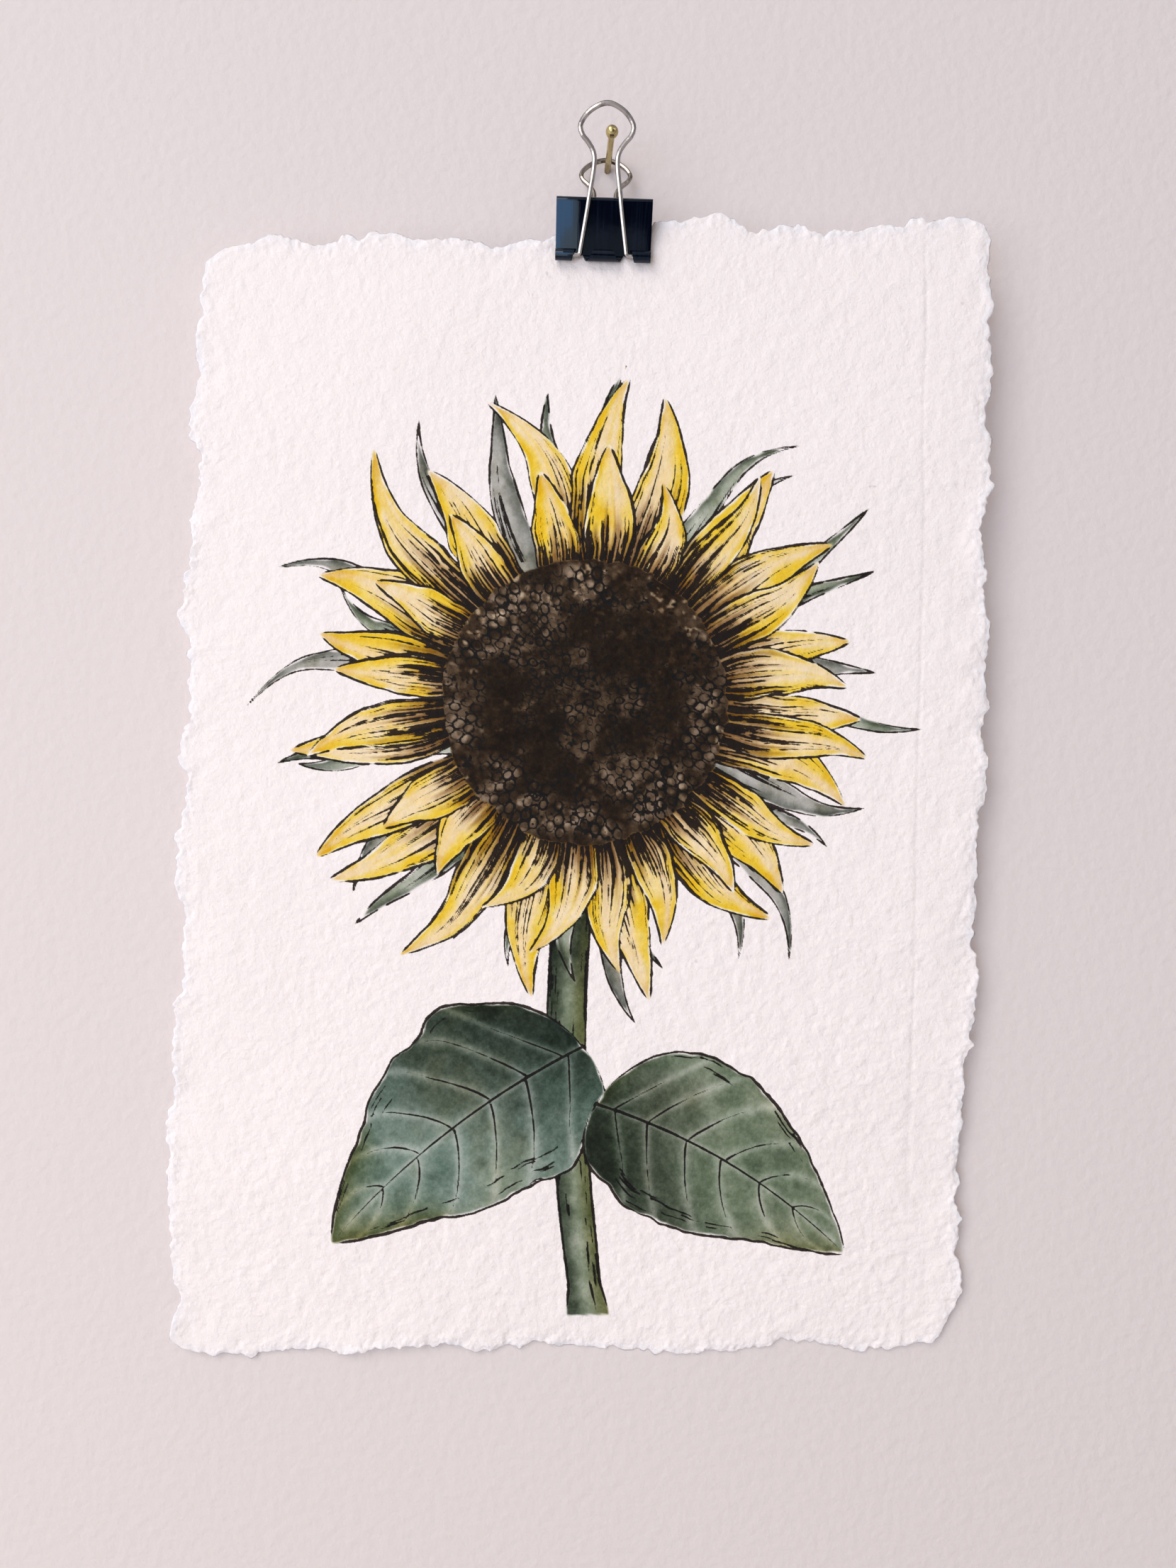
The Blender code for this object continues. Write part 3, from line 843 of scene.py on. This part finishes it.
def rag_paper():
    """Cold-pressed rag paper with dry watercolour and pen ink on it."""
    n = Nodes("rag_paper")
    ink = n.add("ShaderNodeAttribute", attribute_name="ink").outputs["Fac"]
    wash = n.add("ShaderNodeAttribute", attribute_name="wash").outputs["Color"]
    speckle = n.varied(n.noise(3200, 2.0), -0.18, 0.36)
    cover = n.fade(n.math("ADD", ink, speckle), 0.31, 0.58)
    granules = n.add("ShaderNodeGamma")
    n.feed(granules.inputs["Color"], wash)
    n.feed(granules.inputs["Gamma"], n.varied(n.noise(2400, 3.0), 0.82, 0.36))
    n.feed(n.shader.inputs["Base Color"], n.blend(cover, granules.outputs[0], rgba(INK), "MULTIPLY"))
    n.feed(n.shader.inputs["Roughness"], n.varied(cover, 0.93, -0.18))
    n.shader.inputs["Specular IOR Level"].default_value = 0.25
    grain = n.bump(n.noise(1100, 4.0, roughness=0.65), 0.00022, 1.0)
    n.feed(n.shader.inputs["Normal"], n.bump(n.noise(380, 3.0), 0.0004, 0.8, grain))
    return n.material


ENAMEL_FLAT = 4.6 * MM                          # the plates are flat this far either side of the middle
ENAMEL_BOW = 26.0                               # and fall away as this times the square of the rest
ENAMEL_DARK, ENAMEL_LIGHT = (0.001, 0.0016, 0.005), (0.004, 0.007, 0.018)


def black_enamel():
    """Glossy blue-black enamel on spring steel, bowed at the sides, with fine rolling streaks."""
    n = Nodes("black_enamel")
    streaks = n.noise(2200, 3.0, stretch=(1.0, 0.03, 0.03))
    cloud = n.noise(160, 3.0)
    colour = n.blend(n.fade(streaks, 0.4, 0.75), rgba(ENAMEL_DARK), rgba(ENAMEL_LIGHT))
    n.feed(n.shader.inputs["Base Color"], colour)
    n.feed(n.shader.inputs["Roughness"], n.varied(cloud, 0.02, 0.07))
    n.shader.inputs["Specular IOR Level"].default_value = 0.38
    n.shader.inputs["Specular Tint"].default_value = rgba((0.55, 0.78, 1.0))
    across = n.add("ShaderNodeSeparateXYZ")
    n.feed(across.inputs[0], n.places)
    middle = sum(corner[0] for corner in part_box("clip_body")) / 2
    side = n.math("ABSOLUTE", n.math("SUBTRACT", across.outputs["X"], middle))
    outer = n.math("MAXIMUM", n.math("SUBTRACT", side, ENAMEL_FLAT), 0.0)
    bow = n.math("MULTIPLY", n.math("POWER", outer, 2.0), -ENAMEL_BOW)
    bowed = n.bump(bow, 1.0, 1.0)
    n.feed(n.shader.inputs["Normal"], n.bump(streaks, 0.00002, 0.7, n.bump(cloud, 0.0001, 0.08, bowed)))
    return n.material


BRIGHT_WIRE, WORN_BRIGHT_WIRE = (0.50, 0.485, 0.49), (0.26, 0.25, 0.25)
# the rear handle's copy of the same wire, darker as painted shade for its place in the clip's shadow;
# its worn colour is wear and painted shade together
SHADED_WIRE, WORN_AND_SHADED_WIRE = (0.34, 0.31, 0.28), (0.18, 0.16, 0.14)


def plated_wire(name, clean, worn):
    """Nickel-plated spring wire: bright, slightly uneven, with a little grey wear. Given the darker
    pair of colours, it is the same wire with painted shade.
    """
    n = Nodes(name)
    wear = n.noise(700, 4.0)
    colour = n.blend(n.fade(wear, 0.5, 0.75), rgba(clean), rgba(worn))
    n.feed(n.shader.inputs["Base Color"], colour)
    n.shader.inputs["Metallic"].default_value = 1.0
    n.shader.inputs["Specular Tint"].default_value = rgba((0.12, 0.12, 0.14))
    n.feed(n.shader.inputs["Roughness"], n.varied(wear, 0.06, 0.14))
    n.feed(n.shader.inputs["Normal"], n.bump(n.noise(2600, 2.0), 0.000006, 0.5))
    return n.material


BRASS, TARNISHED_BRASS = (0.56, 0.46, 0.22), (0.22, 0.17, 0.085)


def nail_brass():
    """Brass plate on the nail, tarnished in darker patches."""
    n = Nodes("nail_brass")
    tarnish = n.noise(520, 4.0, stretch=(1.0, 0.35, 1.0))
    colour = n.blend(n.fade(tarnish, 0.42, 0.66), rgba(BRASS), rgba(TARNISHED_BRASS))
    n.feed(n.shader.inputs["Base Color"], colour)
    n.shader.inputs["Metallic"].default_value = 1.0
    n.feed(n.shader.inputs["Roughness"], n.varied(tarnish, 0.12, 0.3))
    n.feed(n.shader.inputs["Normal"], n.bump(tarnish, 0.00003, 0.5))
    return n.material


def wall_paint():
    """Rolled wall paint. It casts no shadow and its back is clear, so that views from behind work."""
    n = Nodes("wall_paint")
    n.feed(n.shader.inputs["Base Color"], n.mottled(WALL, 0.015, 3))
    n.shader.inputs["Roughness"].default_value = 0.9
    n.shader.inputs["Specular IOR Level"].default_value = 0.2
    n.feed(n.shader.inputs["Normal"], n.bump(n.noise(420, 4.0), 0.0008, 0.35))
    path = n.add("ShaderNodeLightPath")
    behind = n.math("MULTIPLY", n.add("ShaderNodeNewGeometry").outputs["Backfacing"],
                    path.outputs["Is Camera Ray"])
    clear = n.math("MAXIMUM", behind, path.outputs["Is Shadow Ray"])
    mix = n.add("ShaderNodeMixShader")
    n.feed(mix.inputs[0], clear)
    n.feed(mix.inputs[1], n.shader.outputs[0])
    n.feed(mix.inputs[2], n.add("ShaderNodeBsdfTransparent").outputs[0])
    n.feed(n.tree.nodes["Material Output"].inputs["Surface"], mix.outputs[0])
    return n.material


def floor_paint():
    n = Nodes("floor_paint")
    n.feed(n.shader.inputs["Base Color"], n.mottled(FLOOR, 0.02, 4))
    n.shader.inputs["Roughness"].default_value = 0.85
    return n.material


def coat_node(name, material):
    """Gives a CAD node that stays in view its material."""
    for holder in frame["nodes"][name].material_slots:
        holder.link = "OBJECT"
        holder.material = material


# ---------------------------------------------------------------- stage, lights and camera

WALL_HALF, FLOOR_LEVEL = 1.6, -1.25             # half the wall's width, and the floor's height


def make_plane(name, corners, material):
    mesh = bpy.data.meshes.new(name)
    mesh.from_pydata(corners, [], [tuple(range(len(corners)))])
    plane = bpy.data.objects.new(name, mesh)
    bpy.context.scene.collection.objects.link(plane)
    mesh.materials.append(material)


def make_stage():
    w, f = WALL_HALF, FLOOR_LEVEL
    make_plane("wall", [(-w, 0, f), (w, 0, f), (w, 0, w), (-w, 0, w)], wall_paint())
    make_plane("floor", [(-w, -2 * w, f), (w, -2 * w, f), (w, w, f), (-w, w, f)], floor_paint())


LIT_PLACE = (0.0, 0.0, -0.12)                   # every area light faces this place on the sheet
# Name, place, diameter, power and colour.
AREA_LIGHTS = (
    ("window", (-0.95, -1.40, 1.10), 1.1, 12.0, (1.0, 0.94, 0.90)),
    ("low_window", (-0.32, -0.60, -0.20), 0.6, 1.9, (1.0, 0.94, 0.90)),
    ("far_window", (1.0, -1.1, 0.7), 0.5, 1.2, (1.0, 0.94, 0.90)),
    ("behind", (0.35, 0.8, 0.2), 0.9, 3.0, (1.0, 0.975, 0.965)),
)


def make_area_light(name, place, size, power, colour):
    light = bpy.data.lights.new(name, "AREA")
    light.shape = "DISK"
    light.size = size
    light.energy = power
    light.color = colour
    holder = bpy.data.objects.new(name, light)
    holder.location = place
    holder.rotation_mode = "QUATERNION"
    holder.rotation_quaternion = (Vector(LIT_PLACE) - Vector(place)).to_track_quat("-Z", "Y")
    holder.visible_camera = False
    bpy.context.scene.collection.objects.link(holder)


def direction(azimuth, elevation):
    """A direction in the room: azimuth 0 is straight out from the wall and 90 to the viewer's right."""
    a, e = math.radians(azimuth), math.radians(elevation)
    return (math.sin(a) * math.cos(e), -math.cos(a) * math.cos(e), math.sin(e))


ROOM_LIGHT = (0.355, 0.336, 0.322)              # from everywhere outside the patches
BACKDROP = (0.80, 0.77, 0.76)                   # what the camera sees past the wall and floor
# Patches of the room round the picture: azimuth and elevation of the middle, angles from it
# at which the patch is full and at which it has faded out, and its light.
ROOM_PATCHES = (
    (-66, 29, 18, 90, (0.89, 0.85, 0.825)),     # the bright window side
    (8, -13, 26, 34, (0.012, 0.016, 0.03)),     # the dark figure of whoever looks at the picture
    (-25, -15, 8, 18, (0.30, 1.4, 2.9)),        # a bluish patch beside them
)


def make_lights():
    for light in AREA_LIGHTS:
        make_area_light(*light)
    make_room_light()


def make_room_light():
    """The room round the picture, as light from each direction. The camera sees a plain backdrop."""
    world = bpy.data.worlds.new("soft_room")
    bpy.context.scene.world = world
    world.use_nodes = True
    nodes, links = world.node_tree.nodes, world.node_tree.links
    towards = nodes.new("ShaderNodeTexCoord").outputs["Generated"]
    light = None
    for azimuth, elevation, full, faded, patch_light in ROOM_PATCHES:
        match = nodes.new("ShaderNodeVectorMath")
        match.operation = "DOT_PRODUCT"
        match.inputs[1].default_value = direction(azimuth, elevation)
        links.new(towards, match.inputs[0])
        share = nodes.new("ShaderNodeMapRange")
        share.interpolation_type = "SMOOTHSTEP"
        share.inputs["From Min"].default_value = math.cos(math.radians(faded))
        share.inputs["From Max"].default_value = math.cos(math.radians(full))
        links.new(match.outputs["Value"], share.inputs["Value"])
        mix = nodes.new("ShaderNodeMix")
        mix.data_type = "RGBA"
        mix.inputs["A"].default_value = rgba(ROOM_LIGHT)
        if light:
            links.new(light, mix.inputs["A"])
        mix.inputs["B"].default_value = rgba(patch_light)
        links.new(share.outputs["Result"], mix.inputs["Factor"])
        light = mix.outputs["Result"]
    seen = nodes.new("ShaderNodeMix")
    seen.data_type = "RGBA"
    links.new(nodes.new("ShaderNodeLightPath").outputs["Is Camera Ray"], seen.inputs["Factor"])
    links.new(light, seen.inputs["A"])
    seen.inputs["B"].default_value = rgba(BACKDROP)
    links.new(seen.outputs["Result"], nodes["Background"].inputs["Color"])


CAMERA_PLACE = (0.00021, -0.2392, -0.12932)
CAMERA_LENS, CAMERA_SENSOR = 26.04, 36.0        # mm
CAMERA_ROLL = math.radians(1.9)


def make_camera():
    camera = bpy.data.cameras.new("camera")
    camera.sensor_width = CAMERA_SENSOR
    camera.lens = CAMERA_LENS
    camera.clip_start = 0.01
    holder = bpy.data.objects.new("camera", camera)
    holder.location = CAMERA_PLACE
    holder.rotation_euler = (math.pi / 2, -CAMERA_ROLL, 0.0)
    bpy.context.scene.collection.objects.link(holder)
    bpy.context.scene.camera = holder
    bpy.context.scene.view_settings.view_transform = "Standard"


# ---------------------------------------------------------------- the scene

make_camera()
make_stage()
make_lights()
sheet = make_sheet(SheetPlace(), draw_sunflower())
sheet.data.materials.append(rag_paper())
coat_node("clip_body", black_enamel())
coat_node("front_handle", plated_wire("bright_wire", BRIGHT_WIRE, WORN_BRIGHT_WIRE))
# the rear handle takes the darker copy of the wire: painted shade
coat_node("rear_handle", plated_wire("dull_wire", SHADED_WIRE, WORN_AND_SHADED_WIRE))
coat_node("nail", nail_brass())
